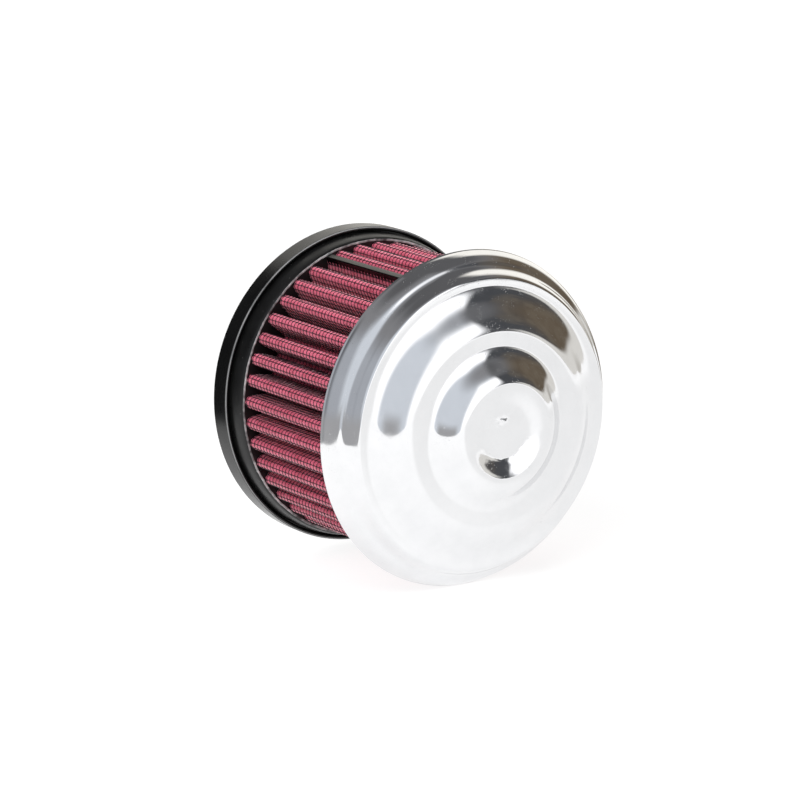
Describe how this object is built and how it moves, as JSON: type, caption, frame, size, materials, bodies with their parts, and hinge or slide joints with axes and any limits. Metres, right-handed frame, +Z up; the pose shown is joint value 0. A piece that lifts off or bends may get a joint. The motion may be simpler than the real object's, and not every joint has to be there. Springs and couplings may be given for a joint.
{
  "type": "motorcycle air filter",
  "caption": "Round carburettor air filter: dished black back plate, washable red pleated gauze element in black end rings, polished stepped cover bolted from behind.",
  "frame": {"origin": "centre of the carburettor pad on the back plate's rear face", "axes": "+Y along the intake axis towards the carburettor, -Y towards the cover's nose, +Z up, +X to the right seen from the cover"},
  "size_m": [0.127, 0.1204, 0.127],
  "materials": {
    "polished_aluminium": "mirror polished casting with fine pits",
    "black_plate": "semi-gloss black",
    "black_urethane": "moulded, satin",
    "red_gauze": "oiled cotton gauze",
    "black_wire": "epoxy-coated woven wire",
    "clip_steel": "dull rolled strip",
    "zinc_steel": "zinc plated",
    "machined_aluminium": "turned, satin",
    "gasket_paper": "compressed fibre paper"
  },
  "bodies": {
    "root": {"back_plate": "black_plate", "carburettor_gasket": "gasket_paper", "carburettor_screws": "zinc_steel", "spacer_tube_1": "machined_aluminium", "spacer_tube_2": "machined_aluminium", "spacer_tube_3": "machined_aluminium"},
    "filter_element": {"rear_end_cap": "black_urethane", "front_end_cap": "black_urethane", "cotton_gauze": "red_gauze", "outer_wire_mesh": "black_wire", "inner_wire_mesh": "black_wire", "seam_clip": "clip_steel"},
    "front_cover": {"front_cover": "polished_aluminium"},
    "cover_bolt_1": {"cover_bolt_1": "zinc_steel", "lock_washer_1": "zinc_steel", "flat_washer_1": "zinc_steel"},
    "cover_bolt_2": {"cover_bolt_2": "zinc_steel", "lock_washer_2": "zinc_steel", "flat_washer_2": "zinc_steel"},
    "cover_bolt_3": {"cover_bolt_3": "zinc_steel", "lock_washer_3": "zinc_steel", "flat_washer_3": "zinc_steel"}
  },
  "joints": [
    {"name": "element_lift", "type": "slide", "parent": "root", "child": "filter_element", "axis": [0, -1, 0], "range_m": [0, 0.08]},
    {"name": "cover_lift", "type": "slide", "parent": "filter_element", "child": "front_cover", "axis": [0, -1, 0], "range_m": [0, 0.04]},
    {"name": "bolt_1_withdraw", "type": "slide", "parent": "root", "child": "cover_bolt_1", "axis": [0, 1, 0], "range_m": [0, 0.095]},
    {"name": "bolt_2_withdraw", "type": "slide", "parent": "root", "child": "cover_bolt_2", "axis": [0, 1, 0], "range_m": [0, 0.095]},
    {"name": "bolt_3_withdraw", "type": "slide", "parent": "root", "child": "cover_bolt_3", "axis": [0, 1, 0], "range_m": [0, 0.095]}
  ]
}
